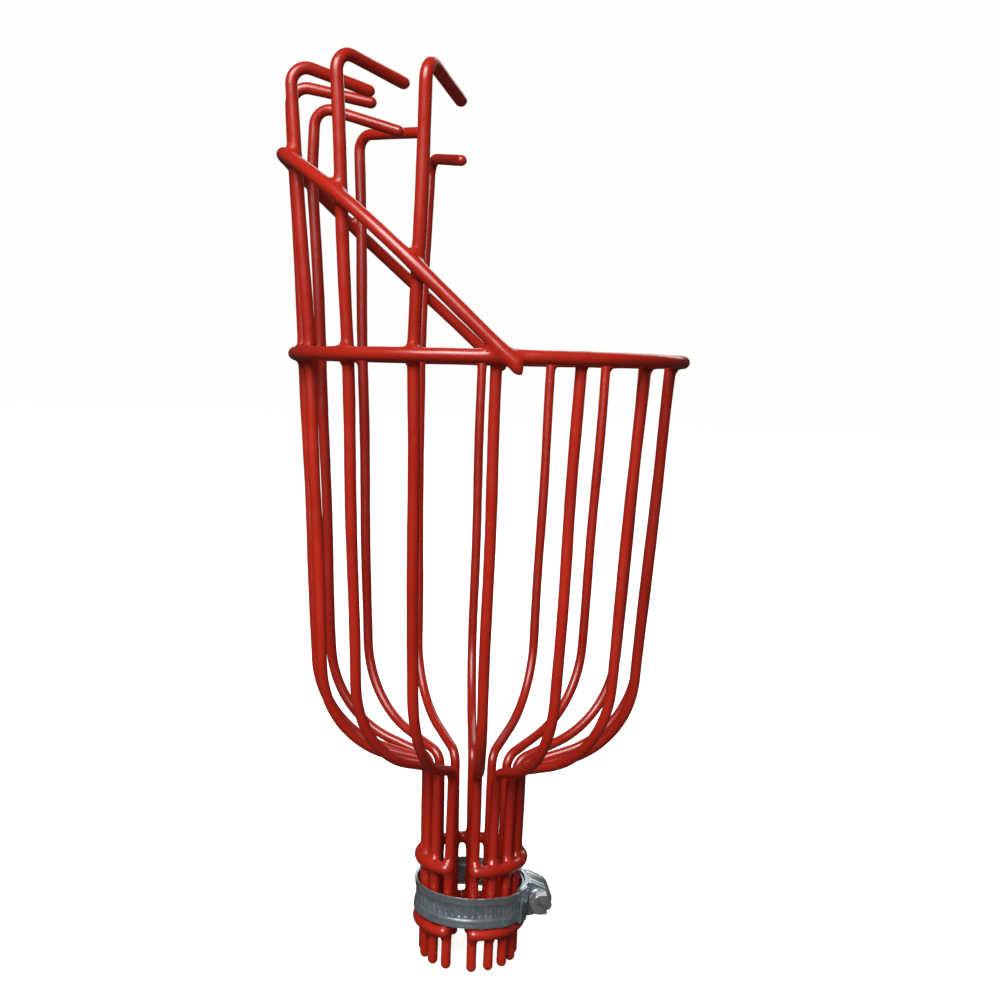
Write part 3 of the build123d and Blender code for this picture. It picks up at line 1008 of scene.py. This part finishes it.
def plated(name, dark, light, dull, smoothness, grain):
    """Zinc-plated steel: faint spangle, drawn lines and duller patches."""
    surface = Surface(name)
    surface.set(Metallic=0.85)
    spangle = surface.mix(0.25, surface.noise(160.0, 4.0), surface.cells(700.0))
    colour = surface.ramp(spangle, (0.3, dark), (0.7, light))
    patches = surface.ramp(surface.noise(90.0, 5.0), (0.52, 0.0), (0.7, 1.0))
    surface.join(surface.mix(patches, colour, dull), "Base Color")
    rough, rougher = smoothness
    surface.join(surface.ramp(surface.noise(260.0, 5.0), (0.3, rough), (0.75, rougher)), "Roughness")
    lines = surface.bump(surface.noise(60.0, 3.0, grain), 0.2, 0.00004)
    surface.join(surface.bump(surface.noise(1800.0, 3.0), 0.12, 0.00003, lines), "Normal")
    return surface.material


def all_pieces():
    vinyl_material = vinyl()
    zinc_material = plated(
        "zinc_plate_band", ZINC_DARK, ZINC_LIGHT, ZINC_DULL,
        smoothness=(0.18, 0.34), grain=(1.0, 1.0, 40.0),
    )
    screw_material = plated(
        "screw_steel_plated", STEEL_DARK, STEEL_LIGHT, STEEL_DULL,
        smoothness=(0.22, 0.40), grain=(30.0, 1.0, 30.0),
    )
    rods = all_rods()
    for rod in rods:
        rod_piece(rod, rods, vinyl_material)
    band_piece(zinc_material)
    saddle_piece(zinc_material)
    housing_piece(zinc_material)
    screw_piece(screw_material)


# --- Studio, in metres -------------------------------------------------------------
WHITE = (1.0, 1.0, 0.985, 1.0)
FLOOR_RADIUS = 9.0
FLOOR_SIDES = 96
FLOOR_GLOW = 0.72            # keeps the floor near white, with a faint shadow
FLOOR_TONES = ((0.3, (0.9, 0.9, 0.885)), (0.7, (0.92, 0.92, 0.905)))
TARGET = Vector((0.0, 0.0, 0.16))
SUN_DISTANCE = 2.0
CAMERA_PLACE = (-0.02089, -0.46833, 0.20647)
CAMERA_TURN = (85.185, -2.159, -3.064)
CAMERA_LENS = 47.47


def add(data, name, location=(0.0, 0.0, 0.0)):
    thing = bpy.data.objects.new(name, data)
    thing.location = location
    bpy.context.scene.collection.objects.link(thing)
    return thing


def floor():
    """A wide pale disc that throws no light and no reflection back at the object."""
    azimuths = np.linspace(0.0, 360.0, FLOOR_SIDES + 1)[:-1]
    mesh = bpy.data.meshes.new("floor")
    edge = [tuple(around(FLOOR_RADIUS, azimuth, 0.0)) for azimuth in azimuths]
    mesh.from_pydata(edge, [], [range(FLOOR_SIDES)])
    surface = Surface("floor_paint")
    surface.set(Roughness=0.9, Emission_Color=WHITE, Emission_Strength=FLOOR_GLOW)
    surface.join(surface.ramp(surface.noise(6.0, 3.0), *FLOOR_TONES), "Base Color")
    mesh.materials.append(surface.material)
    piece = add(mesh, "floor")
    piece.visible_glossy = False
    piece.visible_diffuse = False


def aim(lamp, azimuth, elevation, distance):
    """Puts a lamp round the middle of the object, facing it. Azimuths are from +X."""
    level = math.cos(math.radians(elevation)) * distance
    place = Vector(around(level, azimuth, math.sin(math.radians(elevation)) * distance))
    lamp.location = place + TARGET
    lamp.rotation_mode = "QUATERNION"
    lamp.rotation_quaternion = (-place).to_track_quat("-Z", "Y")


def sun(name, azimuth, elevation, spread, strength):
    light = bpy.data.lights.new(name, "SUN")
    light.angle = math.radians(spread)
    light.energy = strength
    aim(add(light, name), azimuth, elevation, SUN_DISTANCE)


def soft_box(name, azimuth, elevation, distance, size, power):
    light = bpy.data.lights.new(name, "AREA")
    light.shape = "RECTANGLE"
    light.size, light.size_y = size
    light.energy = power
    aim(add(light, name), azimuth, elevation, distance)


def studio_world(seen, lighting, reflected):
    """A white surround, dimmer as a light and dimmer still in reflections."""
    world = bpy.data.worlds.new("studio")
    world.use_nodes = True
    nodes, links = world.node_tree.nodes, world.node_tree.links
    background = nodes["Background"]
    background.inputs["Color"].default_value = WHITE
    path = nodes.new("ShaderNodeLightPath")
    strength = lighting
    for ray, value in (("Is Glossy Ray", reflected), ("Is Camera Ray", seen)):
        choose = nodes.new("ShaderNodeMix")
        links.new(path.outputs[ray], choose.inputs["Factor"])
        choose.inputs["B"].default_value = value
        if isinstance(strength, float):
            choose.inputs["A"].default_value = strength
        else:
            links.new(strength, choose.inputs["A"])
        strength = choose.outputs["Result"]
    links.new(strength, background.inputs["Strength"])
    bpy.context.scene.world = world


def studio():
    floor()
    sun("key", azimuth=246.0, elevation=40.0, spread=24.0, strength=1.4)
    soft_box("strip", azimuth=250.0, elevation=36.0, distance=1.1, size=(1.0, 0.8), power=16.0)
    soft_box("back", azimuth=70.0, elevation=35.0, distance=1.6, size=(1.2, 1.0), power=7.0)
    studio_world(seen=1.0, lighting=0.21, reflected=0.03)
    bpy.context.scene.view_settings.view_transform = "Standard"


def place_camera():
    """The camera stands as fitted to the photo's perspective."""
    lens = bpy.data.cameras.new("camera")
    lens.lens = CAMERA_LENS
    lens.sensor_width = 36.0
    camera = add(lens, "camera", CAMERA_PLACE)
    camera.rotation_euler = [math.radians(angle) for angle in CAMERA_TURN]
    bpy.context.scene.camera = camera


all_pieces()
studio()
place_camera()
